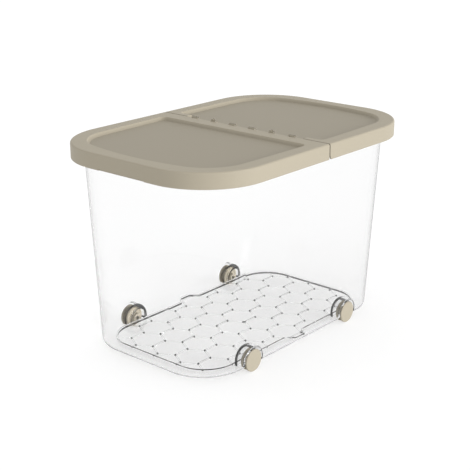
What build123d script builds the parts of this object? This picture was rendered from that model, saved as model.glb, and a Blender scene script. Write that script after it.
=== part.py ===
from build123d import *
import math
import os

os.makedirs("parts", exist_ok=True)

# Wheeled storage bin for dry pet food: a clear tapered tub on four wheels, closed by a lid in two
# halves that hinge on one line across the middle. Millimetres. X runs along the bin, Y across it and
# Z up. The origin is on the floor, under the middle of the bin.

# Driving dimensions
lid_length = 592.0
lid_width = 393.0
lid_corner = 120.0
lid_top = 385.0
lid_wall = 3.0
skirt_height = 28.0
lid_edge_round = 3.5

tub_bottom = 11.0
tub_bottom_size = (519.0, 308.0, 86.0)      # length, width, corner radius at the underside
tub_upper_size = (546.0, 347.0, 97.5)       # the same just under the lid's skirt
tub_wall = 3.0
tub_edge_round = 8.0
rim_top = 379.0
rim_plate = 2.5
rim_depth = 13.0

wheel_x = 141.0
wheel_radius = 20.5
wheel_face = 155.0                          # outer face of a wheel, from the middle of the bin
pocket_radius = 23.6
pocket_back = 131.8                         # back face of a wheel pocket
stub_radius = 3.4

hinge_x = 8.9
hinge_z = lid_top
seam_gap = 1.0
crossbar_left = -20.7
knuckle_radius = 2.8
pin_radius = 1.25
fin_rise = 5.2                              # how far an upright fin stands over the hinge line
fin_half = 2.4
fin_thick = 2.4
rear_stations = (-115.0, -23.0, 23.0, 115.0)    # the rear half's knuckle is in the middle here
front_stations = (-69.0, 69.0)                  # and the front half's knuckle is in the middle here

# Fits and clearances
running_gap = 0.06
side_gap = 0.5
wheel_running_gap = 0.08

# Lid panel
panel_depth = 6.3
panel_thick = 2.5
panel_bevel = 4.6
panel_half_length = 270.0
panel_half_width = 170.0
panel_corner = 78.0
panel_end_bow = 520.0                       # radius of the bowed short end
panel_side_bow = 4.0                        # how far a long side bows out over its length
panel_floor_round = 1.5                     # inside corner between a panel and its sloping wall
panel_edge_round = 1.8                      # outside corner between that wall and the rim
seam_round = 1.2                            # upper edge of each half along the seam
front_corner_round = 12.0
rear_corner_x = 22.0
rear_throat = 138.0                         # half width of the rear panel where it meets the hinge

# Finger grips
grip_half = 53.0
grip_rise = 2.5

# Floor
floor_thick = 3.0
plateau = (231.0, 128.0, 60.0)              # half length, half width, corner radius
plateau_rise = 4.0
bay_middle = 2.0
bay_reach = 144.0
bay_base_half = 26.0
bay_tip_half = 13.0

skirt_bottom = lid_top - skirt_height
big = 1000.0


def rounded_slab(length, width, radius, low, high):
    """A slab with rounded corners between two heights."""
    return extrude(Pos(0, 0, low) * RectangleRounded(length, width, radius), high - low)


def span_box(x0, x1, y0, y1, z0, z1):
    """A box between two corners."""
    middle = Pos((x0 + x1) / 2, (y0 + y1) / 2, (z0 + z1) / 2)
    return middle * Box(x1 - x0, y1 - y0, z1 - z0)


def rod_y(radius, x, z, y0, y1):
    """A cylinder that lies across the bin."""
    return Pos(x, (y0 + y1) / 2, z) * Rot(90, 0, 0) * Cylinder(radius, abs(y1 - y0))


# ---------------------------------------------------------------- tub

def tub_section(z, inset):
    """The tub's outline at a height, drawn in by an inset."""
    share = (z - tub_bottom) / (skirt_bottom - tub_bottom)
    length, width, radius = (
        low + (high - low) * share for low, high in zip(tub_bottom_size, tub_upper_size)
    )
    return Pos(0, 0, z) * RectangleRounded(length - 2 * inset, width - 2 * inset, radius - inset)


def tub_body(low, high, inset, edge_round):
    """The tapered solid inside the tub's outline, with its lower edge rounded."""
    body = loft([tub_section(low, inset), tub_section(high, inset)], ruled=True)
    lower_edges = body.faces().sort_by(Axis.Z)[0].edges()
    return fillet(lower_edges, edge_round)


def plateau_face(grow):
    """The raised floor panel's outline, with a bay in the middle of each long side."""
    half_length, half_width, radius = plateau
    face = RectangleRounded(2 * half_length, 2 * half_width, radius)
    bay = make_face(Polyline(
        (bay_middle - bay_base_half, 0),
        (bay_middle - bay_base_half, half_width),
        (bay_middle - bay_tip_half, bay_reach),
        (bay_middle + bay_tip_half, bay_reach),
        (bay_middle + bay_base_half, half_width),
        (bay_middle + bay_base_half, 0),
        close=True,
    ))
    face = face + bay + mirror(bay, about=Plane.XZ)
    near_bays = [v for v in face.vertices() if abs(v.X - bay_middle) < bay_base_half + 1]
    face = fillet(near_bays, 7)
    return offset(face, grow) if grow else face


def raised_floor(low, high, grow):
    """The solid over the floor panel's outline between two heights."""
    return extrude(Pos(0, 0, low) * plateau_face(grow), high - low)


def wheel_places():
    """Each wheel's name, its place along the bin and its side."""
    for end, x in (("front", -wheel_x), ("rear", wheel_x)):
        for side_name, side in (("right", -1), ("left", 1)):
            yield f"{end}_{side_name}", x, side


def pocket_block(x, side, grow):
    """An arch-shaped block around a wheel, from the pocket's back to outside the wall."""
    radius = pocket_radius + grow
    back = side * (pocket_back - grow)
    outside = side * 200.0
    y0, y1 = min(back, outside), max(back, outside)
    arch = rod_y(radius, x, wheel_radius, y0, y1)
    legs = span_box(x - radius, x + radius, y0, y1, tub_bottom - 5, wheel_radius)
    return arch + legs


def wheel_stub(x, side):
    """The spindle a wheel turns on, moulded on the pocket's back, with its shoulder and groove."""
    root = side * (pocket_back - 1.0)
    spindle = rod_y(stub_radius, x, wheel_radius, root, side * 149.4)
    shoulder = rod_y(stub_radius + 2.1, x, wheel_radius, root, side * 132.6)
    groove = rod_y(10, x, wheel_radius, side * 147.4, side * 148.4)
    groove -= rod_y(stub_radius - 0.5, x, wheel_radius, side * 147.4, side * 148.4)
    return spindle + shoulder - groove


def rim_flange():
    """The out-turned rim with its down-turned lip, before the tub is taken out of it."""
    clear = lid_wall + 4.0
    length, width = lid_length - 2 * clear, lid_width - 2 * clear
    radius = lid_corner - clear
    flange = rounded_slab(length, width, radius, rim_top - rim_depth, rim_top)
    under = rounded_slab(
        length - 2 * rim_plate, width - 2 * rim_plate, radius - rim_plate,
        rim_top - rim_depth, rim_top - rim_plate,
    )
    return fillet(flange.faces().sort_by(Axis.Z)[-1].edges(), 1.2) - under


def make_tub():
    """The clear tub, in one moulding."""
    outside = tub_body(tub_bottom, rim_top, 0, tub_edge_round)
    cavity = tub_body(tub_bottom + floor_thick, rim_top + 1, tub_wall, tub_edge_round - tub_wall)
    panel_top = tub_bottom + floor_thick + plateau_rise
    cavity -= raised_floor(tub_bottom, panel_top, 2.5)
    for _, x, side in wheel_places():
        cavity -= pocket_block(x, side, tub_wall)
    tub = outside + rim_flange() - cavity
    tub -= raised_floor(tub_bottom - 1, tub_bottom + plateau_rise, 0)
    for _, x, side in wheel_places():
        tub -= pocket_block(x, side, 0)
        tub += wheel_stub(x, side)
    return tub


# ---------------------------------------------------------------- wheels

def turned(points):
    """A solid turned about Y from its half section, given as (radius, distance along Y)."""
    return revolve(make_face(Polyline(*points, close=True)), Axis.Y, 360)


def wheel_blank():
    """The inner disc with its stepped hub, groove and bore, for the left side of the bin."""
    bore = stub_radius + wheel_running_gap
    rim = wheel_radius - 0.8
    return turned([
        (bore, 133.0), (7.65, 133.0), (8.25, 133.6), (8.25, 138.4), (11.5, 138.8), (11.5, 140.2),
        (rim - 1.4, 140.2), (rim, 141.6), (rim, 144.6), (rim - 0.6, 145.2), (13.5, 145.2),
        (13.5, 151.0), (9.0, 151.0), (9.0, 147.0), (bore, 147.0),
    ])


def cap_blank():
    """The plain outer disc, with the ring that plugs into the wheel."""
    edge = 0.8
    return turned([
        (0, 151.0), (7.2, 151.0), (7.2, 149.0), (9.0, 149.0), (9.0, 151.0),
        (wheel_radius - edge, 151.0), (wheel_radius, 151.0 + edge),
        (wheel_radius, wheel_face - edge), (wheel_radius - edge, wheel_face), (0, wheel_face),
    ])


def retainer_blank():
    """The push-on ring that sits in the stub's groove and keeps the wheel on."""
    return turned([(2.9, 147.45), (6.8, 147.45), (6.8, 148.35), (2.9, 148.35)])


def place_wheel_part(blank, x, side):
    """A part made for the left side, put at one of the four wheels."""
    if side < 0:
        blank = mirror(blank, about=Plane.XZ)
    return Pos(x, 0, wheel_radius) * blank


# ---------------------------------------------------------------- lid

def panel_outline(inset):
    """Outline of both sunk panels together, with bowed ends and sides."""
    radius = panel_corner - inset
    half_length = panel_half_length - inset
    shoulder = panel_half_width - panel_side_bow - inset
    bow = panel_end_bow - inset
    bow_x = bow - half_length
    corner_y = shoulder - radius
    corner_x = bow_x - math.sqrt((bow - radius) ** 2 - corner_y ** 2)
    end_angle = math.atan2(corner_y, corner_x - bow_x)
    end_x = bow_x + bow * math.cos(end_angle)
    end_y = bow * math.sin(end_angle)
    middle = (math.pi / 2 + end_angle) / 2
    mid_x = corner_x + radius * math.cos(middle)
    mid_y = corner_y + radius * math.sin(middle)
    lines = []
    for s in (1, -1):
        lines.append(ThreePointArc((-corner_x, s * shoulder), (0, s * (shoulder + panel_side_bow)),
                                   (corner_x, s * shoulder)))
        for t in (1, -1):
            lines.append(ThreePointArc((t * corner_x, s * shoulder), (t * mid_x, s * mid_y),
                                       (t * end_x, s * end_y)))
    for t in (1, -1):
        lines.append(ThreePointArc((t * end_x, end_y), (-t * half_length, 0), (t * end_x, -end_y)))
    return make_face(lines)


def front_panel_face(inset):
    """The front half's sunk panel, which stops at the crossbar."""
    edge = crossbar_left - inset
    face = panel_outline(inset) & Pos(edge - big / 2, 0) * Rectangle(big, big)
    corners = [v for v in face.vertices() if abs(v.X - edge) < 0.01]
    return fillet(corners, front_corner_round - inset)


def rear_panel_face(inset, near_edge):
    """The rear half's sunk panel, with the narrower throat that runs to the hinge line."""
    edge = rear_corner_x + inset
    face = panel_outline(inset) & Pos(edge + big / 2, 0) * Rectangle(big, big)
    corners = [v for v in face.vertices() if abs(v.X - edge) < 0.01]
    face = fillet(corners, 10 - inset)
    throat_half = rear_throat - inset
    length = edge + 20 - near_edge
    throat = Pos(near_edge + length / 2, 0) * Rectangle(length, 2 * throat_half)
    return face + throat


def sunk(face_at, low, high):
    """A bevelled solid between a smaller outline at a low height and a larger one above it."""
    return loft([Pos(0, 0, low) * face_at(panel_bevel), Pos(0, 0, high) * face_at(0)], ruled=True)


def panel_half(shell, face_at, seam_x, x0, x1):
    """One half of the lid: its shell with the sunk panel hung in it, and its upper edges rounded."""
    floor = lid_top - panel_depth
    hollow = sunk(face_at, floor, lid_top)
    hollow = fillet(hollow.faces().sort_by(Axis.Z)[0].edges(), panel_floor_round)
    pan = Pos(0, 0, -panel_thick) * sunk(lambda inset: face_at(inset - panel_thick), floor, lid_top)
    pan &= span_box(x0, x1, -big, big, 0, lid_top - 0.5)
    half = shell + pan - hollow
    inner = [e for e in top_edges(half) if is_panel_edge(e.bounding_box(), seam_x)]
    half = fillet(inner, panel_edge_round)
    along_seam = [e for e in top_edges(half) if is_seam_edge(e.bounding_box(), seam_x)]
    return fillet(along_seam, seam_round)


def top_edges(shape):
    """The edges that lie in the lid's top face."""
    boxes = ((e, e.bounding_box()) for e in shape.edges())
    return [e for e, box in boxes if min(box.min.Z, box.max.Z) > lid_top - 0.01]


def is_panel_edge(box, seam_x):
    """Whether an edge of the top face goes round a sunk panel."""
    inside = max(abs(box.min.Y), abs(box.max.Y)) < panel_half_width + 2
    return inside and not is_seam_edge(box, seam_x)


def is_seam_edge(box, seam_x):
    """Whether an edge lies along the seam."""
    return abs(box.min.X - seam_x) < 0.01 and abs(box.max.X - seam_x) < 0.01


def seam_curve():
    """The prism that trims the rear skirt's end so that it curves away from the seam."""
    start_z = skirt_bottom + 14.0
    radius = 24.0
    x = hinge_x + seam_gap / 2
    low_z = skirt_bottom - 1.0
    end_x = x + radius - math.sqrt(radius ** 2 - (start_z - low_z) ** 2)
    mid_z = (start_z + low_z) / 2
    mid_x = x + radius - math.sqrt(radius ** 2 - (start_z - mid_z) ** 2)
    edges = [
        Line((x, start_z), (x - 5, start_z)),
        Line((x - 5, start_z), (x - 5, low_z)),
        Line((x - 5, low_z), (end_x, low_z)),
        ThreePointArc((end_x, low_z), (mid_x, mid_z), (x, start_z)),
    ]
    profile = Plane.XZ * make_face(edges)
    return extrude(profile, big / 2, both=True)


def lid_shell(x0, x1):
    """The rim plate and skirt of the whole lid between two places along the bin."""
    outer = rounded_slab(lid_length, lid_width, lid_corner, skirt_bottom, lid_top)
    outer = fillet(outer.faces().sort_by(Axis.Z)[-1].edges(), lid_edge_round)
    outer = fillet(outer.faces().sort_by(Axis.Z)[0].edges(), 0.8)
    inside = rounded_slab(
        lid_length - 2 * lid_wall, lid_width - 2 * lid_wall, lid_corner - lid_wall,
        skirt_bottom - 1, lid_top - lid_wall,
    )
    return (outer - inside) & span_box(x0, x1, -big, big, 0, big)


def grip(side):
    """What the finger grip cuts from the skirt and the inner lip that it leaves."""
    outer = side * lid_length / 2
    inner = side * (lid_length / 2 - lid_wall)
    lip = side * (lid_length / 2 - 2 * lid_wall + 0.5)
    x0, x1 = sorted((inner, outer + side))
    cut = span_box(x0, x1, -grip_half, grip_half, skirt_bottom - 1, skirt_bottom + grip_rise)
    x0, x1 = sorted((inner + side * 0.5, lip))
    lip_plate = span_box(x0, x1, -grip_half, grip_half, skirt_bottom, skirt_bottom + 7)
    return cut, lip_plate


def channel_ribs(direction):
    """Short ribs in the lid's rim channel that sit just over the tub's rim."""
    low, high = rim_top + 0.4, lid_top - lid_wall + 0.5
    ribs = []
    for x in (45, 100, 155):
        for side in (-1, 1):
            y0, y1 = sorted((side * 171.5, side * 194.0))
            ribs.append(span_box(direction * x - 1, direction * x + 1, y0, y1, low, high))
    for y in (-70, -25, 25, 70):
        x0, x1 = sorted((direction * 271.5, direction * 293.5))
        ribs.append(span_box(x0, x1, y - 1, y + 1, low, high))
    return ribs


def knuckle(y0, y1, radius):
    """A round hinge knuckle on the hinge line."""
    return rod_y(radius, hinge_x, hinge_z, y0, y1)


def fin(y):
    """The upright plate on a front knuckle."""
    rise = fin_rise - fin_half
    plate = rod_y(fin_half, hinge_x, hinge_z + rise, y - fin_thick / 2, y + fin_thick / 2)
    return plate + span_box(
        hinge_x - fin_half, hinge_x + fin_half, y - fin_thick / 2, y + fin_thick / 2,
        hinge_z, hinge_z + rise,
    )


def knuckle_arm(y0, y1):
    """The arm that carries a rear knuckle up from the rear panel."""
    left = hinge_x + seam_gap / 2
    floor = lid_top - panel_depth
    profile = Plane.XZ * make_face(Polyline(
        (left, floor - panel_thick), (left, hinge_z), (hinge_x + knuckle_radius, hinge_z),
        (hinge_x + 10, floor), (hinge_x + 10, floor - panel_thick), close=True,
    ))
    return Pos(0, y1, 0) * extrude(profile, y1 - y0)


def cheek_spans(y, half):
    """The two cheeks beside a knuckle, as (low, high) along Y."""
    inner = half + side_gap
    return [(y - inner - 3.0, y - inner), (y + inner, y + inner + 3.0)]


def make_front_lid():
    """The half that carries the crossbar."""
    edge = hinge_x - seam_gap / 2
    wall = span_box(edge - 2.5, edge, -rear_throat - 20, rear_throat + 20, lid_top - 13, lid_top - 1)
    lid = panel_half(lid_shell(-big, edge) + wall, front_panel_face, edge, -big, edge)
    for rib in channel_ribs(-1):
        lid += rib
    cut, lip = grip(-1)
    lid = lid - cut + lip
    for y in rear_stations:
        lid -= knuckle(y - 4 - side_gap, y + 4 + side_gap, knuckle_radius + 0.6)
        for y0, y1 in cheek_spans(y, 4.0):
            lid += knuckle(y0, y1, knuckle_radius)
        lid -= knuckle(y - 7.5, y + 7.5, pin_radius + running_gap)
    for y in front_stations:
        lid += knuckle(y - 2, y + 2, knuckle_radius) + fin(y)
        for y0, y1 in cheek_spans(y, 2.0):
            lid -= knuckle(y0 - side_gap, y1 + side_gap / 2, knuckle_radius + 0.6)
        lid -= knuckle(y - 6.5, y + 6.5, pin_radius + running_gap)
    return lid


def make_rear_lid():
    """The half whose knuckles turn in the crossbar's notches."""
    edge = hinge_x + seam_gap / 2
    lid = panel_half(lid_shell(edge, big), lambda i: rear_panel_face(i, edge - 5), edge, edge, big)
    for rib in channel_ribs(1):
        lid += rib
    cut, lip = grip(1)
    lid = lid - cut + lip
    lid -= seam_curve()
    for y in rear_stations:
        lid += knuckle_arm(y - 4, y + 4) + knuckle(y - 4, y + 4, knuckle_radius)
        lid -= knuckle(y - 5, y + 5, pin_radius + running_gap)
    for y in front_stations:
        for y0, y1 in cheek_spans(y, 2.0):
            lid += knuckle_arm(y0, y1) + knuckle(y0, y1, knuckle_radius)
        lid -= knuckle(y - 7, y + 7, pin_radius + running_gap)
    return lid


def make_pin(y, half):
    """A short hinge pin."""
    return rod_y(pin_radius, hinge_x, hinge_z, y - half, y + half)


# ---------------------------------------------------------------- nodes

def main():
    nodes = {
        "tub": make_tub(),
        "lid_front_half": make_front_lid(),
        "lid_rear_half": make_rear_lid(),
    }
    for number, y in enumerate(sorted(rear_stations + front_stations), 1):
        half = 7.4 if y in rear_stations else 5.4
        nodes[f"hinge_pin_{number}"] = make_pin(y, half)
    for name, x, side in wheel_places():
        nodes[f"wheel_{name}"] = place_wheel_part(wheel_blank(), x, side)
        nodes[f"wheel_cap_{name}"] = place_wheel_part(cap_blank(), x, side)
        nodes[f"wheel_retainer_{name}"] = place_wheel_part(retainer_blank(), x, side)
    for name, shape in nodes.items():
        export_step(shape, f"parts/{name}.step")


main()
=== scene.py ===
import math

import bmesh
import bpy
from mathutils import Matrix, Vector


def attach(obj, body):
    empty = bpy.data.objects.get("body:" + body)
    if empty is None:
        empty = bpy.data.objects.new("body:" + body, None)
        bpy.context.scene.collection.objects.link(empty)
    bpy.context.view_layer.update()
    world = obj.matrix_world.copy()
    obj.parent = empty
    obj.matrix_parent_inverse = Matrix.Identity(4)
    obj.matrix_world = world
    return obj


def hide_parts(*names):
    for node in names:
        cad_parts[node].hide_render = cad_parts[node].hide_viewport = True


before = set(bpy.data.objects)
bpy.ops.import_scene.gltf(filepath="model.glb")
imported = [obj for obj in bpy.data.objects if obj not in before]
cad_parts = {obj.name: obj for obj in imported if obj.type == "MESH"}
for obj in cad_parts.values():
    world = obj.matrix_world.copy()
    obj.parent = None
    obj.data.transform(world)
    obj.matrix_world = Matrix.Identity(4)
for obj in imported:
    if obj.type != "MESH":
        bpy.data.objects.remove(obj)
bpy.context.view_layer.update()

mm = 0.001
weldReach = 0.000002      # metres between corners that are one and the same
print("frame loaded:", len(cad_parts), "parts")


# small helpers

def shown(obj):
    bpy.context.scene.collection.objects.link(obj)
    return obj


def evaluatedMesh(obj):
    bpy.context.view_layer.update()
    graph = bpy.context.evaluated_depsgraph_get()
    return bpy.data.meshes.new_from_object(obj.evaluated_get(graph))


# the way out to a camera or lamp, turned from the right side towards the rear end, in degrees
def wayOut(azimuth, elevation):
    azimuth, elevation = math.radians(azimuth), math.radians(elevation)
    return Vector((math.sin(azimuth) * math.cos(elevation),
                   -math.cos(azimuth) * math.cos(elevation), math.sin(elevation)))


def linkNodes(tree, source, target):
    tree.links.new(source, target)


def putNode(tree, kind, x=0, y=0, **values):
    node = tree.nodes.new(kind)
    node.location = (x, y)
    for key, value in values.items():
        setattr(node, key, value)
    return node


# fills a socket with a number, or links it to another node's output
def feed(tree, value, socket):
    if isinstance(value, bpy.types.NodeSocket):
        linkNodes(tree, value, socket)
    else:
        socket.default_value = value


def maths(tree, operation, first, second, x=0, y=0):
    node = putNode(tree, "ShaderNodeMath", x, y, operation=operation)
    feed(tree, first, node.inputs[0])
    feed(tree, second, node.inputs[1])
    return node.outputs[0]


# goes smoothly from 0 at one value to 1 at the other
def smoothStep(tree, value, low, high, x=0, y=0):
    node = putNode(tree, "ShaderNodeMapRange", x, y, interpolation_type="SMOOTHSTEP")
    for label, source in (("Value", value), ("From Min", low), ("From Max", high)):
        feed(tree, source, node.inputs[label])
    return node.outputs["Result"]


def newMaterial(name):
    material = bpy.data.materials.new(name)
    material.use_nodes = True
    tree = material.node_tree
    tree.nodes.clear()
    return material, tree, putNode(tree, "ShaderNodeOutputMaterial", 500)


def principled(tree, values):
    shader = putNode(tree, "ShaderNodeBsdfPrincipled")
    for label, value in values.items():
        shader.inputs[label].default_value = value
    return shader


# camera, above the lid and off the front right corner

cameraSettings = {
    "place": (-1.4283, -1.2130, 0.8236),
    "azimuth": -49.44,
    "elevation": 18.97,
    "lens": 81.0,
    "sensorWidth": 36.0,
    "clip": (0.05, 100.0),
}


def makeCamera(cfg):
    data = bpy.data.cameras.new("camera")
    data.lens = cfg["lens"]
    data.sensor_width = cfg["sensorWidth"]
    data.clip_start, data.clip_end = cfg["clip"]
    camera = shown(bpy.data.objects.new("camera", data))
    camera.location = cfg["place"]
    camera.rotation_mode = "QUATERNION"
    towards = -wayOut(cfg["azimuth"], cfg["elevation"])
    camera.rotation_quaternion = towards.to_track_quat("-Z", "Y")
    bpy.context.scene.camera = camera


makeCamera(cameraSettings)
print("camera placed")


# studio: pale floor, white sky, and one broad low light off the right side

studioSettings = {
    "sky": 1.0,
    "mirrored": 0.4,         # the studio's share of brightness in a sharp reflection
    "floorTone": 0.34,
    "floorRoughness": 0.9,
    "floorGlow": 0.67,       # the floor is lit from below as well
    "floorSize": 60.0,
    "keyStrength": 3.3,
    "keyAngle": 30.0,        # how wide the light looks, in degrees
    "keyAzimuth": 14.0,      # turned from the right side towards the rear end
    "keyElevation": 7.0,
}


# the studio is darker in mirror-sharp reflections, which greys the edges of clear things
def studioStrength(tree, full, mirrored):
    rays = putNode(tree, "ShaderNodeLightPath", -900, -300)
    sharp = maths(tree, "MULTIPLY", rays.outputs["Is Reflection Ray"],
                  rays.outputs["Is Singular Ray"], -750, -300)
    share = maths(tree, "MULTIPLY_ADD", sharp, full * (mirrored - 1.0), -600, -300)
    share.node.inputs[2].default_value = full
    return share


def makeStudio(cfg):
    scene = bpy.context.scene
    scene.view_settings.view_transform = "Standard"
    world = bpy.data.worlds.new("studioSky")
    scene.world = world
    world.use_nodes = True
    sky = world.node_tree.nodes["Background"]
    sky.inputs["Color"].default_value = (1.0, 1.0, 1.0, 1.0)
    linkNodes(world.node_tree, studioStrength(world.node_tree, cfg["sky"], cfg["mirrored"]),
              sky.inputs["Strength"])

    half = cfg["floorSize"] / 2
    mesh = bpy.data.meshes.new("studioFloor")
    mesh.from_pydata([(-half, -half, 0), (half, -half, 0), (half, half, 0), (-half, half, 0)],
                     [], [(0, 1, 2, 3)])
    floor = shown(bpy.data.objects.new("studioFloor", mesh))
    paper, tree, out = newMaterial("palePaper")
    tone = cfg["floorTone"]
    shader = principled(tree, {
        "Base Color": (tone, tone, tone, 1.0), "Roughness": cfg["floorRoughness"],
        "Specular IOR Level": 0.0, "Emission Color": (1.0, 1.0, 1.0, 1.0),
    })
    linkNodes(tree, studioStrength(tree, cfg["floorGlow"], cfg["mirrored"]),
              shader.inputs["Emission Strength"])
    linkNodes(tree, shader.outputs[0], out.inputs["Surface"])
    mesh.materials.append(paper)

    light = bpy.data.lights.new("sideLight", "SUN")
    light.energy = cfg["keyStrength"]
    light.angle = math.radians(cfg["keyAngle"])
    lamp = shown(bpy.data.objects.new("sideLight", light))
    towards = wayOut(cfg["keyAzimuth"], cfg["keyElevation"])
    lamp.rotation_mode = "QUATERNION"
    lamp.rotation_quaternion = towards.to_track_quat("Z", "Y")


makeStudio(studioSettings)
print("studio lit")


# shared shader groups

def newGroup(name, inputs, outputs):
    group = bpy.data.node_groups.new(name, "ShaderNodeTree")
    for label, kind, value in inputs:
        socket = group.interface.new_socket(label, in_out="INPUT", socket_type=kind)
        if value is not None:
            socket.default_value = value
    for label, kind in outputs:
        group.interface.new_socket(label, in_out="OUTPUT", socket_type=kind)
    return group


# fine eroded grain of a moulding tool, with a slow drift of tone over it
def buildMouldGrain():
    group = newGroup("mouldGrain", [
        ("Vector", "NodeSocketVector", None),
        ("Grain Scale", "NodeSocketFloat", 1400.0),
        ("Drift Scale", "NodeSocketFloat", 5.0),
        ("Drift", "NodeSocketFloat", 0.03),
    ], [("Tone", "NodeSocketFloat"), ("Height", "NodeSocketFloat")])
    start = putNode(group, "NodeGroupInput", -700)
    end = putNode(group, "NodeGroupOutput", 600)
    grain = putNode(group, "ShaderNodeTexNoise", -450, 150)
    grain.inputs["Detail"].default_value = 3.0
    grain.inputs["Roughness"].default_value = 0.6
    drift = putNode(group, "ShaderNodeTexNoise", -450, -150)
    drift.inputs["Detail"].default_value = 2.0
    linkNodes(group, start.outputs["Vector"], grain.inputs["Vector"])
    linkNodes(group, start.outputs["Grain Scale"], grain.inputs["Scale"])
    linkNodes(group, start.outputs["Vector"], drift.inputs["Vector"])
    linkNodes(group, start.outputs["Drift Scale"], drift.inputs["Scale"])
    centred = maths(group, "SUBTRACT", drift.outputs["Fac"], 0.5, -200, -150)
    scaled = maths(group, "MULTIPLY", centred, start.outputs["Drift"], 0, -150)
    linkNodes(group, maths(group, "ADD", scaled, 1.0, 200, -150), end.inputs["Tone"])
    linkNodes(group, grain.outputs["Fac"], end.inputs["Height"])
    return group


mouldGrain = buildMouldGrain()


# painted shade: darker where an upward face lies sunk below the rim, and along the seam between the
# halves, standing in for the shade in the recess and in the gap between the halves
def buildLidPaintedShade():
    group = newGroup("lidPaintedShade", [
        ("Vector", "NodeSocketVector", None),
        ("Facing", "NodeSocketVector", None),
        ("Sunk", "NodeSocketFloat", 0.38),
        ("Rim", "NodeSocketFloat", 0.385),
        ("Seam", "NodeSocketFloat", 0.0),
        ("Seam Reach", "NodeSocketFloat", 0.0015),
        ("Sunk Tone", "NodeSocketFloat", 0.8),
        ("Seam Tone", "NodeSocketFloat", 0.4),
    ], [("Tone", "NodeSocketFloat")])
    start = putNode(group, "NodeGroupInput", -1000)
    end = putNode(group, "NodeGroupOutput", 800)
    place = putNode(group, "ShaderNodeSeparateXYZ", -800, 150)
    turn = putNode(group, "ShaderNodeSeparateXYZ", -800, -150)
    linkNodes(group, start.outputs["Vector"], place.inputs[0])
    linkNodes(group, start.outputs["Facing"], turn.inputs[0])
    upward = maths(group, "GREATER_THAN", turn.outputs["Z"], 0.5, -600, -150)
    depth = smoothStep(group, place.outputs["Z"], start.outputs["Rim"], start.outputs["Sunk"],
                       -600, 150)
    sunk = maths(group, "MULTIPLY", depth, upward, -400, 100)
    offset = maths(group, "SUBTRACT", place.outputs["X"], start.outputs["Seam"], -600, -300)
    away = maths(group, "ABSOLUTE", offset, 0.0, -400, -300)
    line = smoothStep(group, away, start.outputs["Seam Reach"], 0.0, -200, -300)
    tones = []
    for mask, label, y in ((sunk, "Sunk Tone", 100), (line, "Seam Tone", -200)):
        tone = putNode(group, "ShaderNodeMapRange", 100, y)
        linkNodes(group, mask, tone.inputs["Value"])
        tone.inputs["To Min"].default_value = 1.0
        linkNodes(group, start.outputs[label], tone.inputs["To Max"])
        tones.append(tone.outputs["Result"])
    linkNodes(group, maths(group, "MULTIPLY", tones[0], tones[1], 500, 0), end.inputs["Tone"])
    return group


lidPaintedShade = buildLidPaintedShade()

lidFinish = {
    "colour": (0.335, 0.300, 0.232, 1.0),
    "roughness": 0.55,
    "specular": 0.2,
    "ior": 1.47,
    "bump": 0.05,
    "bumpDepth": 0.0004,
    "grain": 1500.0,
    # painted shade: the sunk panel and the seam between the halves are made darker, standing in for
    # the shade there
    "shade": {                   # heights of the panel and the rim, and the seam's place, in metres
        "Sunk": 0.3790, "Rim": 0.3845, "Seam": 0.0089, "Seam Reach": 0.0022,
        "Sunk Tone": 0.84, "Seam Tone": 0.35,
    },
}
wheelFinish = {
    "colour": (0.342, 0.307, 0.238, 1.0),
    "roughness": 0.5,
    "specular": 0.2,
    "ior": 1.47,
    "bump": 0.04,
    "bumpDepth": 0.0004,
    "grain": 1800.0,
}
clearFinish = {
    "colour": (1.0, 1.0, 1.0, 1.0),
    "roughness": 0.0,
    "ior": 1.22,
    # painted shade: the recess wall and the pockets' backs are painted near black, and faces seen
    # nearly edge on are painted grey
    "paintedDarkColour": (0.012, 0.012, 0.012, 1.0),
    "paintedDarkSlant": (0.06, 0.3),           # where the pockets' backs start and end going painted dark
    "paintedEdgeColour": (0.62, 0.62, 0.62, 1.0),
    "paintedEdgeSlant": (0.72, 1.0),
    "lampTint": (0.85, 0.85, 0.85, 1.0),
    "depthColour": (0.60, 0.605, 0.61, 1.0),
    "depthDensity": 20.0,
}
# painted shade: the studs at the rib crossings are near black, standing in for the dark dots that
# light trapped in the clear ribs makes there
paintedDotShade = {
    "Base Color": (0.05, 0.05, 0.05, 1.0), "Roughness": 0.25, "IOR": 1.3,
    "Transmission Weight": 0.35,
}
steelFinish = {"Base Color": (0.55, 0.55, 0.54, 1.0), "Roughness": 0.32, "Metallic": 1.0}


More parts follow.
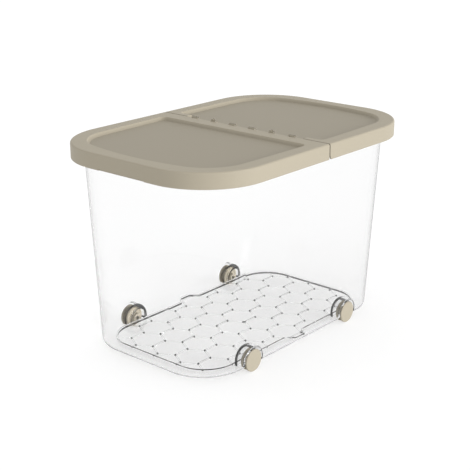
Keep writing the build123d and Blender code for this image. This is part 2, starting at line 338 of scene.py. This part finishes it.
def mouldedPlastic(name, cfg):
    material, tree, out = newMaterial(name)
    coords = putNode(tree, "ShaderNodeTexCoord", -900)
    grain = putNode(tree, "ShaderNodeGroup", -650, node_tree=mouldGrain)
    grain.inputs["Grain Scale"].default_value = cfg["grain"]
    linkNodes(tree, coords.outputs["Object"], grain.inputs["Vector"])
    tint = putNode(tree, "ShaderNodeMix", -350, 150, data_type="RGBA", blend_type="MULTIPLY")
    tint.inputs["Factor"].default_value = 1.0
    tint.inputs["A"].default_value = cfg["colour"]
    tone = grain.outputs["Tone"]
    # painted shade: where given, a shade group darkens the tone in the lid's recess and along its
    # seam
    if "shade" in cfg:
        shade = putNode(tree, "ShaderNodeGroup", -650, 300, node_tree=lidPaintedShade)
        for label, value in cfg["shade"].items():
            shade.inputs[label].default_value = value
        linkNodes(tree, coords.outputs["Object"], shade.inputs["Vector"])
        linkNodes(tree, coords.outputs["Normal"], shade.inputs["Facing"])
        tone = maths(tree, "MULTIPLY", tone, shade.outputs["Tone"], -500, 200)
    linkNodes(tree, tone, tint.inputs["B"])
    bump = putNode(tree, "ShaderNodeBump", -350, -200)
    bump.inputs["Strength"].default_value = cfg["bump"]
    bump.inputs["Distance"].default_value = cfg["bumpDepth"]
    linkNodes(tree, grain.outputs["Height"], bump.inputs["Height"])
    shader = principled(tree, {"Roughness": cfg["roughness"], "IOR": cfg["ior"],
                               "Specular IOR Level": cfg["specular"]})
    linkNodes(tree, tint.outputs["Result"], shader.inputs["Base Color"])
    linkNodes(tree, bump.outputs["Normal"], shader.inputs["Normal"])
    linkNodes(tree, shader.outputs[0], out.inputs["Surface"])
    return material


# painted shade: from outside the plastic the recess's wall is painted dark, and so are the pockets'
# backs where they are seen at a slant, standing in for the dark lines that light trapped in the
# clear walls makes there;
# every other face is painted a little grey where it is nearly edge on, standing in for the greyer
# reflection there
def clearTone(tree, cfg):
    side = putNode(tree, "ShaderNodeNewGeometry", -1100, -150)
    front = maths(tree, "SUBTRACT", 1.0, side.outputs["Backfacing"], -900, -150)
    slant = putNode(tree, "ShaderNodeLayerWeight", -1100, 300).outputs["Facing"]
    recess = putNode(tree, "ShaderNodeAttribute", -900, 700, attribute_name="recessWall")
    backs = putNode(tree, "ShaderNodeAttribute", -900, 550, attribute_name="pocketBack")
    slanted = maths(tree, "MULTIPLY", backs.outputs["Fac"],
                    smoothStep(tree, slant, *cfg["paintedDarkSlant"], -900, 400), -700, 500)
    either = maths(tree, "MAXIMUM", recess.outputs["Fac"], slanted, -550, 500)
    edgeShadeMask = maths(tree, "MULTIPLY", front,
                    smoothStep(tree, slant, *cfg["paintedEdgeSlant"], -900, 100), -700, 0)
    tone = cfg["colour"]
    for mask, colour, x in ((edgeShadeMask, "paintedEdgeColour", -450),
                            (maths(tree, "MULTIPLY", front, either, -400, 400),
                             "paintedDarkColour", -200)):
        mix = putNode(tree, "ShaderNodeMix", x, data_type="RGBA")
        feed(tree, tone, mix.inputs["A"])
        mix.inputs["B"].default_value = cfg[colour]
        linkNodes(tree, mask, mix.inputs["Factor"])
        tone = mix.outputs["Result"]
    return tone


# clear plastic that lets a lamp through, so the shade under it stays light
def clearPlastic(name, cfg):
    material, tree, out = newMaterial(name)
    shader = principled(tree, {"Roughness": cfg["roughness"], "IOR": cfg["ior"],
                               "Transmission Weight": 1.0})
    linkNodes(tree, clearTone(tree, cfg), shader.inputs["Base Color"])
    through = putNode(tree, "ShaderNodeBsdfTransparent", 0, -200)
    through.inputs["Color"].default_value = cfg["lampTint"]
    rays = putNode(tree, "ShaderNodeLightPath", 0, 300)
    mix = putNode(tree, "ShaderNodeMixShader", 300)
    linkNodes(tree, rays.outputs["Is Shadow Ray"], mix.inputs[0])
    linkNodes(tree, shader.outputs[0], mix.inputs[1])
    linkNodes(tree, through.outputs[0], mix.inputs[2])
    depth = putNode(tree, "ShaderNodeVolumeAbsorption", 300, -200)
    depth.inputs["Color"].default_value = cfg["depthColour"]
    depth.inputs["Density"].default_value = cfg["depthDensity"]
    linkNodes(tree, mix.outputs[0], out.inputs["Surface"])
    linkNodes(tree, depth.outputs[0], out.inputs["Volume"])
    return material


def plainMaterial(name, values):
    material, tree, out = newMaterial(name)
    linkNodes(tree, principled(tree, values).outputs[0], out.inputs["Surface"])
    return material


lidPlastic = mouldedPlastic("lidPlastic", lidFinish)
wheelPlastic = mouldedPlastic("wheelPlastic", wheelFinish)
pinSteel = plainMaterial("pinSteel", steelFinish)
tubPlastic = clearPlastic("tubPlastic", clearFinish)
studsPaintedDark = plainMaterial("studsPaintedDark", paintedDotShade)
print("materials ready")


# mesh making, in millimetres until a piece is finished

def loftedMesh(name, rings):
    count = len(rings[0])
    points = [point for ring in rings for point in ring]
    faces = [tuple(reversed(range(count)))]
    for level in range(len(rings) - 1):
        low, high = level * count, (level + 1) * count
        for step in range(count):
            after = (step + 1) % count
            faces.append((low + step, low + after, high + after, high + step))
    faces.append(tuple(range(len(points) - count, len(points))))
    mesh = bpy.data.meshes.new(name)
    mesh.from_pydata(points, [], faces)
    return mesh


def combined(target, other, operation):
    tool = shown(bpy.data.objects.new("tool", other))
    base = shown(bpy.data.objects.new("base", target))
    modifier = base.modifiers.new("cut", "BOOLEAN")
    modifier.object = tool
    modifier.operation = operation
    modifier.solver = "EXACT"
    result = evaluatedMesh(base)
    for obj in (tool, base):
        bpy.data.objects.remove(obj)
    return result


def weld(mesh, dropSlivers=False):
    work = bmesh.new()
    work.from_mesh(mesh)
    bmesh.ops.remove_doubles(work, verts=work.verts, dist=weldReach)
    if dropSlivers:
        bmesh.ops.dissolve_degenerate(work, edges=work.edges, dist=weldReach / 2)
    work.to_mesh(mesh)
    work.free()


# area-weighted normals keep flat walls flat beside their rounded corners
def smoothMesh(mesh, material, angle):
    mesh.materials.clear()
    mesh.materials.append(material)
    mesh.polygons.foreach_set("use_smooth", [True] * len(mesh.polygons))
    mesh.polygons.foreach_set("material_index", [0] * len(mesh.polygons))
    if "custom_normal" in mesh.attributes:
        mesh.attributes.remove(mesh.attributes["custom_normal"])
    mesh.set_sharp_from_angle(angle=math.radians(angle))
    holder = shown(bpy.data.objects.new("holder", mesh))
    holder.modifiers.new("evenNormals", "WEIGHTED_NORMAL").keep_sharp = True
    result = evaluatedMesh(holder)
    name = mesh.name
    bpy.data.objects.remove(holder)
    bpy.data.meshes.remove(mesh)
    result.name = name
    return result


def finishedMesh(name, mesh, material, angle):
    mesh.name = name
    mesh.transform(Matrix.Scale(mm, 4))
    weld(mesh, dropSlivers=True)
    return smoothMesh(mesh, material, angle)


def asPiece(mesh, body, slot, *nodes):
    piece = shown(bpy.data.objects.new(mesh.name, mesh))
    if nodes:
        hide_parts(*nodes)
    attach(piece, body)


# how far a rounded edge has gone in, and how far it has still to go, at each step of its turn
def quarterTurn(steps):
    for step in range(steps + 1):
        angle = math.pi / 2 * step / steps
        yield 1 - math.cos(angle), 1 - math.sin(angle)


# clear tub, in millimetres

tubShape = {
    "lowSize": (519.0, 308.0, 86.0),       # length, width, corner radius at the underside
    "highSize": (546.0, 347.0, 97.5),      # the same under the lid's skirt
    "low": 11.0,
    "high": 357.0,
    "wall": 3.0,
    "floor": 3.0,
    "outerRound": 8.0,
    "rimSize": (578.0, 379.0, 113.0),
    "rimTop": 379.0,
    "rimPlate": 2.5,
    "rimDepth": 13.0,
    "rimRound": 1.2,
    "lipRound": 0.4,
    # inset and drop of the rings where the outer wall meets the rim plate, and at the brim inside
    "underRim": ((0.0, 1.0), (-0.3, 0.3), (-1.0, 0.0)),
    "brim": ((-0.8, 0.0), (-0.2, 0.25), (0.0, 0.9)),
    "cornerSteps": 24,
    "roundSteps": 14,
    "rimSteps": 4,
    "smoothAngle": 32.0,
}
floorShape = {
    "half": (231.0, 128.0, 60.0),          # half length, half width, corner radius
    "rise": 4.0,
    "grow": 2.5,                           # wall of the raised panel
    "edge": 0.9,
    "edgeSteps": 4,
    "sink": 1.5,                           # how far the panel reaches into the tub's floor
    "bayMiddle": 2.0,
    "bayReach": 144.0,
    "bayBase": 26.0,
    "bayTip": 13.0,
    "bayRound": 7.0,
}
pocketShape = {
    "places": ((-141.0, -1), (-141.0, 1), (141.0, -1), (141.0, 1)),
    "centre": 20.5,
    "radius": 23.6,
    "back": 131.8,
    "backRound": 5.0,
    "backSteps": 6,
    "paintedBandDepth": 2.0,                      # the painted dark band goes on this far past the round
    "boxTop": 120.0,                       # the pocket walls are kept inside the tub up to here
    "boxInset": 0.7,
    "past": 200.0,                         # well outside the tub's side
    "steps": 40,
}
stubShape = {
    "profile": ((5.5, 130.8), (5.5, 132.6), (3.4, 132.6), (3.4, 147.4), (2.9, 147.4),
                (2.9, 148.4), (3.4, 148.4), (3.4, 149.1), (3.1, 149.4)),
    "steps": 32,
}


def roundedRing(size, inset, level):
    length, width, radius = size
    radius -= inset
    points = []
    for turn, (sideX, sideY) in enumerate(((1, -1), (1, 1), (-1, 1), (-1, -1))):
        middleX = sideX * (length / 2 - inset - radius)
        middleY = sideY * (width / 2 - inset - radius)
        for step in range(tubShape["cornerSteps"] + 1):
            angle = math.pi / 2 * (turn - 1 + step / tubShape["cornerSteps"])
            points.append((middleX + radius * math.cos(angle),
                           middleY + radius * math.sin(angle), level))
    return points


def wallRing(cfg, inset, level):
    share = (level - cfg["low"]) / (cfg["high"] - cfg["low"])
    size = [low + (high - low) * share for low, high in zip(cfg["lowSize"], cfg["highSize"])]
    return roundedRing(size, inset, level)


def roundedFoot(cfg, low, inset, radius):
    return [wallRing(cfg, inset + radius * left, low + radius * gone)
            for gone, left in quarterTurn(cfg["roundSteps"])]


def panShell(cfg):
    top, plate, lip = cfg["rimTop"], cfg["rimPlate"], cfg["lipRound"]
    plateLow, lipLow = top - plate, top - cfg["rimDepth"]
    rings = roundedFoot(cfg, cfg["low"], 0, cfg["outerRound"])
    rings += [wallRing(cfg, inset, plateLow - drop) for inset, drop in cfg["underRim"]]
    for inset, level in ((plate, plateLow), (plate, lipLow + lip), (plate - lip, lipLow),
                         (lip, lipLow), (0, lipLow + lip)):
        rings.append(roundedRing(cfg["rimSize"], inset, level))
    rings += [roundedRing(cfg["rimSize"], cfg["rimRound"] * gone, top - cfg["rimRound"] * left)
              for gone, left in quarterTurn(cfg["rimSteps"])]
    rings += [wallRing(cfg, cfg["wall"] + inset, top - drop) for inset, drop in cfg["brim"]]
    rings += reversed(roundedFoot(cfg, cfg["low"] + cfg["floor"], cfg["wall"],
                                  cfg["outerRound"] - cfg["wall"]))
    return loftedMesh("pan", rings)


def bodyBlank(cfg, inset, top):
    rings = roundedFoot(cfg, cfg["low"] + inset, inset, cfg["outerRound"] - inset)
    rings.append(wallRing(cfg, inset, top))
    return loftedMesh("blank", rings)


# corner list of the raised floor panel, with a bay on each long side
def floorCorners(cfg):
    halfX, halfY, radius = cfg["half"]
    base, tip, reach = cfg["bayBase"], cfg["bayTip"], cfg["bayReach"]
    small, middle = cfg["bayRound"], cfg["bayMiddle"]
    near = [(-halfX, -halfY, radius), (middle - base, -halfY, small),
            (middle - tip, -reach, small), (middle + tip, -reach, small),
            (middle + base, -halfY, small), (halfX, -halfY, radius)]
    far = [(x, -y, r) for x, y, r in reversed(near)]
    return near + far


def outlinePoints(corners, grow, level):
    points = []
    count = len(corners)
    for index in range(count):
        before, here, after = (Vector(corners[(index + step) % count][:2]) for step in (-1, 0, 1))
        radius = corners[index][2]
        arrive, leave = (here - before).normalized(), (after - here).normalized()
        outward = [Vector((way.y, -way.x)) for way in (arrive, leave)]
        turn = arrive.angle_signed(leave) * -1
        lift = (outward[0] + outward[1]) / (1 + outward[0].dot(outward[1]))
        moved = here + lift * grow
        radius += grow if turn > 0 else -grow
        reach = radius * math.tan(abs(turn) / 2)
        start = moved - arrive * reach
        side = -1 if turn > 0 else 1
        centre = start + outward[0] * side * radius
        spoke = start - centre
        steps = max(6, round(abs(math.degrees(turn)) / 5))
        for step in range(steps + 1):
            angle = turn * step / steps
            swung = Vector((spoke.x * math.cos(angle) - spoke.y * math.sin(angle),
                            spoke.x * math.sin(angle) + spoke.y * math.cos(angle)))
            points.append((centre.x + swung.x, centre.y + swung.y, level))
    return points


def floorBlock(cfg, low, high, grow, edge):
    corners = floorCorners(cfg)
    rings = [outlinePoints(corners, grow, low)]
    rings += [outlinePoints(corners, grow - edge * gone, high - edge * left)
              for gone, left in quarterTurn(cfg["edgeSteps"])]
    return loftedMesh("floorBlock", rings)


def archProfile(cfg, place, radius, low, reach):
    ring = [(place + radius, reach, low)]
    for step in range(cfg["steps"] + 1):
        angle = math.pi * step / cfg["steps"]
        ring.append((place + radius * math.cos(angle), reach,
                     cfg["centre"] + radius * math.sin(angle)))
    ring.append((place - radius, reach, low))
    return ring


def archBlock(cfg, place, side, grow, low, outer):
    back, bend = cfg["back"] - grow, cfg["backRound"] + grow
    rings = [archProfile(cfg, place, cfg["radius"] + grow - bend * left, low,
                         side * (back + bend * gone))
             for gone, left in quarterTurn(cfg["backSteps"])]
    for reach in (back + bend + cfg["paintedBandDepth"], outer):
        rings.append(archProfile(cfg, place, cfg["radius"] + grow, low, side * reach))
    if side > 0:
        rings.reverse()
    return loftedMesh("arch", rings)


def stubMesh(cfg, place, side):
    rings = []
    for radius, reach in cfg["profile"]:
        ring = []
        for step in range(cfg["steps"]):
            angle = -side * math.tau * step / cfg["steps"]
            ring.append((place + radius * math.cos(angle), side * reach,
                         pocketShape["centre"] + radius * math.sin(angle)))
        rings.append(ring)
    return loftedMesh("stub", rings)


def makeTub():
    tub = panShell(tubShape)
    low, wall, edge = tubShape["low"], tubShape["wall"], floorShape["edge"]
    recessTop = low + floorShape["rise"]
    panel = floorBlock(floorShape, low + floorShape["sink"], recessTop + tubShape["floor"],
                       floorShape["grow"], edge)
    tub = combined(tub, panel, "UNION")
    for place, side in pocketShape["places"]:
        box = archBlock(pocketShape, place, side, wall, low - 5, pocketShape["past"])
        blank = bodyBlank(tubShape, pocketShape["boxInset"], pocketShape["boxTop"])
        tub = combined(tub, combined(box, blank, "INTERSECT"), "UNION")
    tub = combined(tub, floorBlock(floorShape, low - 1, recessTop, 0, edge), "DIFFERENCE")
    for place, side in pocketShape["places"]:
        hollow = archBlock(pocketShape, place, side, 0, low - 6, pocketShape["past"] + 1)
        tub = combined(tub, hollow, "DIFFERENCE")
        tub = combined(tub, stubMesh(stubShape, place, side), "UNION")
    return tub


paintedShadeSettings = {
    "upright": 0.8,          # a wall's normal stays under this in height
    "slack": 0.1,
    "near": 1.2,             # from the panel's outline to a wall face's middle
    "ringSlack": 0.3,
    "below": 3.0,            # the pockets' painted dark bands start this far under the recess's top
}


# marks the recess's side walls and the pockets' round backs, where the clear plastic is painted
# dark as shade
def markPaintedShade(mesh, cfg):
    outline = [Vector(point[:2]) for point in outlinePoints(floorCorners(floorShape), 0, 0)]
    spans = list(zip(outline, outline[1:] + outline[:1]))
    recessTop = tubShape["low"] + floorShape["rise"]
    ringLow = pocketShape["radius"] - pocketShape["backRound"]
    ringHigh = pocketShape["radius"] + tubShape["wall"] + cfg["ringSlack"]
    reachLow = pocketShape["back"] - tubShape["wall"]
    reachHigh = pocketShape["back"] + pocketShape["backRound"] + pocketShape["paintedBandDepth"]
    walls, backs = [], []
    for face in mesh.polygons:
        middle = face.center / mm
        upright = abs(face.normal.z) < cfg["upright"]
        low = tubShape["low"] - cfg["slack"] < middle.z < recessTop + cfg["slack"]
        walls.append(float(low and upright and nearOutline(middle.xy, spans, cfg["near"])))
        spread = min(math.hypot(middle.x - place, middle.z - pocketShape["centre"])
                     for place, side in pocketShape["places"])
        inReach = reachLow < abs(middle.y) < reachHigh and ringLow < spread < ringHigh
        backs.append(float(inReach and middle.z > recessTop - cfg["below"]))
    for name, values in (("recessWall", walls), ("pocketBack", backs)):
        mesh.attributes.new(name, "FLOAT", "FACE").data.foreach_set("value", values)


def nearOutline(flat, spans, near):
    for start, stop in spans:
        along = stop - start
        share = max(0.0, min(1.0, (flat - start).dot(along) / along.length_squared))
        if (start + along * share - flat).length < near:
            return True
    return False


# honeycomb ribs under the raised floor panel, grown as geometry nodes

ribShape = {
    "side": 31.6,            # edge of one cell
    "widthRoot": 2.8,        # rib width where it meets the floor
    "widthTip": 2.2,
    "low": 13.7,
    "high": 15.3,            # runs a little way into the floor so the two join
    "overlap": 1.0,          # the cells cut this far past the ribs, above and below
    "grow": 0.2,
    "edge": 0.1,
}
studShape = {
    "radius": 1.6,
    "sides": 12,
    "low": 12.4,
    "high": 15.3,
    "inset": 3.0,            # studs stop this far inside the panel's edge
    "target": (23.7, 25.3),  # heights of the block that the rays look for, above the studs
    "smoothAngle": 40.0,
}
cellGrids = ((5, 7), (6, 6))     # columns and rows of the two offset grids of cells


def raised(tree, geometry, x, y, z, place):
    offset = putNode(tree, "ShaderNodeCombineXYZ", place[0], place[1] - 150)
    for label, value in (("X", x), ("Y", y), ("Z", z)):
        feed(tree, value, offset.inputs[label])
    moved = putNode(tree, "GeometryNodeSetPosition", place[0] + 200, place[1])
    linkNodes(tree, geometry, moved.inputs["Geometry"])
    linkNodes(tree, offset.outputs["Vector"], moved.inputs["Offset"])
    return moved.outputs["Geometry"]


# one point at the middle of each cell, in two offset grids
def cellMiddles(tree, side):
    pitchX = maths(tree, "MULTIPLY", side, 3.0, -1150, 300)
    pitchY = maths(tree, "MULTIPLY", side, math.sqrt(3.0), -1150, 150)
    joined = putNode(tree, "GeometryNodeJoinGeometry", -450, 250)
    for (columns, rows), y in zip(cellGrids, (400, 100)):
        grid = putNode(tree, "GeometryNodeMeshGrid", -700, y)
        grid.inputs["Vertices X"].default_value = columns
        grid.inputs["Vertices Y"].default_value = rows
        linkNodes(tree, maths(tree, "MULTIPLY", pitchX, columns - 1, -900, y + 60),
                  grid.inputs["Size X"])
        linkNodes(tree, maths(tree, "MULTIPLY", pitchY, rows - 1, -900, y - 60),
                  grid.inputs["Size Y"])
        linkNodes(tree, grid.outputs["Mesh"], joined.inputs["Geometry"])
    return joined.outputs["Geometry"]


def newTree(name, labels):
    tree = bpy.data.node_groups.new(name, "GeometryNodeTree")
    tree.interface.new_socket("Geometry", in_out="INPUT", socket_type="NodeSocketGeometry")
    for label in labels:
        tree.interface.new_socket(label, in_out="INPUT", socket_type="NodeSocketFloat")
    tree.interface.new_socket("Geometry", in_out="OUTPUT", socket_type="NodeSocketGeometry")
    return tree, putNode(tree, "NodeGroupInput", -1400)


def closeTree(tree, geometry, material):
    real = putNode(tree, "GeometryNodeRealizeInstances", 1000, 300)
    paint = putNode(tree, "GeometryNodeSetMaterial", 1200, 300)
    paint.inputs["Material"].default_value = material
    end = putNode(tree, "NodeGroupOutput", 1400, 300)
    linkNodes(tree, geometry, real.inputs["Geometry"])
    linkNodes(tree, real.outputs["Geometry"], paint.inputs["Geometry"])
    linkNodes(tree, paint.outputs["Geometry"], end.inputs["Geometry"])
    return tree


def honeycombTree(material, overlap):
    tree, start = newTree("honeycombRibs", ("Cell Side", "Root Width", "Tip Width", "Low", "High"))
    side, root, tip, low, high = (start.outputs[label] for label in
                                  ("Cell Side", "Root Width", "Tip Width", "Low", "High"))
    height = maths(tree, "SUBTRACT", high, low, -1150, -250)
    depth = maths(tree, "ADD", height, 2 * overlap, -1000, -250)
    below = maths(tree, "SUBTRACT", low, overlap, -1000, -100)
    middles = raised(tree, cellMiddles(tree, side), 0.0, 0.0, below, (-450, 250))
    cell = putNode(tree, "GeometryNodeMeshCone", -450, -200)
    cell.inputs["Vertices"].default_value = 6
    for label, width, y in (("Radius Top", root, -150), ("Radius Bottom", tip, -300)):
        share = maths(tree, "MULTIPLY", width, 1 / math.sqrt(3.0), -900, y)
        linkNodes(tree, maths(tree, "SUBTRACT", side, share, -700, y), cell.inputs[label])
    linkNodes(tree, depth, cell.inputs["Depth"])
    cells = putNode(tree, "GeometryNodeInstanceOnPoints", 0, 200)
    linkNodes(tree, middles, cells.inputs["Points"])
    linkNodes(tree, cell.outputs["Mesh"], cells.inputs["Instance"])
    solid = putNode(tree, "GeometryNodeRealizeInstances", 200, 200)
    linkNodes(tree, cells.outputs["Instances"], solid.inputs["Geometry"])
    cut = putNode(tree, "GeometryNodeMeshBoolean", 400, 300, operation="DIFFERENCE", solver="EXACT")
    linkNodes(tree, start.outputs["Geometry"], cut.inputs["Mesh 1"])
    linkNodes(tree, solid.outputs["Geometry"], cut.inputs["Mesh 2"])
    return closeTree(tree, cut.outputs["Mesh"], material)


# a stud at each rib crossing: every cell brings the two that no other cell brings
def studTree(material, sides):
    tree, start = newTree("ribStuds", ("Cell Side", "Stud Radius", "Low", "High"))
    side, radius, low, high = (start.outputs[label] for label in
                               ("Cell Side", "Stud Radius", "Low", "High"))
    total = maths(tree, "ADD", low, high, -1150, -400)
    middle = maths(tree, "MULTIPLY", total, 0.5, -1000, -400)
    stud = putNode(tree, "GeometryNodeMeshCylinder", -450, -200)
    stud.inputs["Vertices"].default_value = sides
    linkNodes(tree, radius, stud.inputs["Radius"])
    linkNodes(tree, maths(tree, "SUBTRACT", high, low, -1150, -250), stud.inputs["Depth"])
    joined = putNode(tree, "GeometryNodeJoinGeometry", 800, 200)
    middles = cellMiddles(tree, side)
    corners = ((1.0, 0.0), (0.5, -math.sqrt(3.0) / 2))
    for row, (alongX, alongY) in enumerate(corners):
        y = 600 - 500 * row
        moved = raised(tree, middles, maths(tree, "MULTIPLY", side, alongX, -100, y),
                       maths(tree, "MULTIPLY", side, alongY, -100, y - 100), middle, (0, y))
        ray = putNode(tree, "GeometryNodeRaycast", 200, y - 200)
        ray.inputs["Ray Direction"].default_value = (0.0, 0.0, 1.0)
        linkNodes(tree, start.outputs["Geometry"], ray.inputs["Target Geometry"])
        inside = putNode(tree, "GeometryNodeInstanceOnPoints", 500, y)
        linkNodes(tree, moved, inside.inputs["Points"])
        linkNodes(tree, ray.outputs["Is Hit"], inside.inputs["Selection"])
        linkNodes(tree, stud.outputs["Mesh"], inside.inputs["Instance"])
        linkNodes(tree, inside.outputs["Instances"], joined.inputs["Geometry"])
    return closeTree(tree, joined.outputs["Geometry"], material)


def grown(mesh, tree, values):
    holder = bpy.data.objects.new("holder", mesh)
    modifier = holder.modifiers.new("grow", "NODES")
    modifier.node_group = tree
    for item in tree.interface.items_tree:
        if item.in_out == "INPUT" and item.name in values:
            modifier[item.identifier] = values[item.name]
    shown(holder)
    result = evaluatedMesh(holder)
    bpy.data.objects.remove(holder)
    return result


def makeRibs(cfg):
    slab = floorBlock(floorShape, cfg["low"], cfg["high"], cfg["grow"], cfg["edge"])
    return grown(slab, honeycombTree(tubPlastic, cfg["overlap"]), {
        "Cell Side": cfg["side"], "Root Width": cfg["widthRoot"],
        "Tip Width": cfg["widthTip"], "Low": cfg["low"], "High": cfg["high"],
    })


def makeStuds(cfg, side):
    target = floorBlock(floorShape, *cfg["target"], -cfg["inset"], ribShape["edge"])
    return grown(target, studTree(studsPaintedDark, cfg["sides"]), {
        "Cell Side": side, "Stud Radius": cfg["radius"], "Low": cfg["low"], "High": cfg["high"],
    })


tubMesh = combined(makeTub(), makeRibs(ribShape), "UNION")
tubMesh = finishedMesh("clear_tub", tubMesh, tubPlastic, tubShape["smoothAngle"])
markPaintedShade(tubMesh, paintedShadeSettings)
asPiece(tubMesh, "tub", "clear_plastic", "tub")
# painted shade: near-black studs stand in for the dark dots at the rib crossings
studMesh = makeStuds(studShape, ribShape["side"])
studMesh = finishedMesh("floor_studs", studMesh, studsPaintedDark, studShape["smoothAngle"])
asPiece(studMesh, "tub", "clear_plastic")
print("tub made:", len(tubMesh.polygons), "faces")


# the other CAD nodes, with the same shape and smooth normals

skinSettings = {"smoothAngle": 28.0}


def smoothSkin(node, material, slot, body):
    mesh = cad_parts[node].data.copy()
    mesh.name = node + "_skin"
    weld(mesh)
    mesh = smoothMesh(mesh, material, skinSettings["smoothAngle"])
    asPiece(mesh, body, slot, node)


smoothSkin("lid_front_half", lidPlastic, "lid_plastic", "front_lid")
smoothSkin("lid_rear_half", lidPlastic, "lid_plastic", "rear_lid")
for corner in ("front_right", "front_left", "rear_right", "rear_left"):
    smoothSkin("wheel_" + corner, wheelPlastic, "wheel_plastic", "wheel_" + corner)
    smoothSkin("wheel_cap_" + corner, wheelPlastic, "wheel_plastic", "wheel_" + corner)
    smoothSkin("wheel_retainer_" + corner, pinSteel, "pin_steel", "tub")
for number in range(1, 7):
    smoothSkin("hinge_pin_%d" % number, pinSteel, "pin_steel", "lid_hinge")
print("skins made")
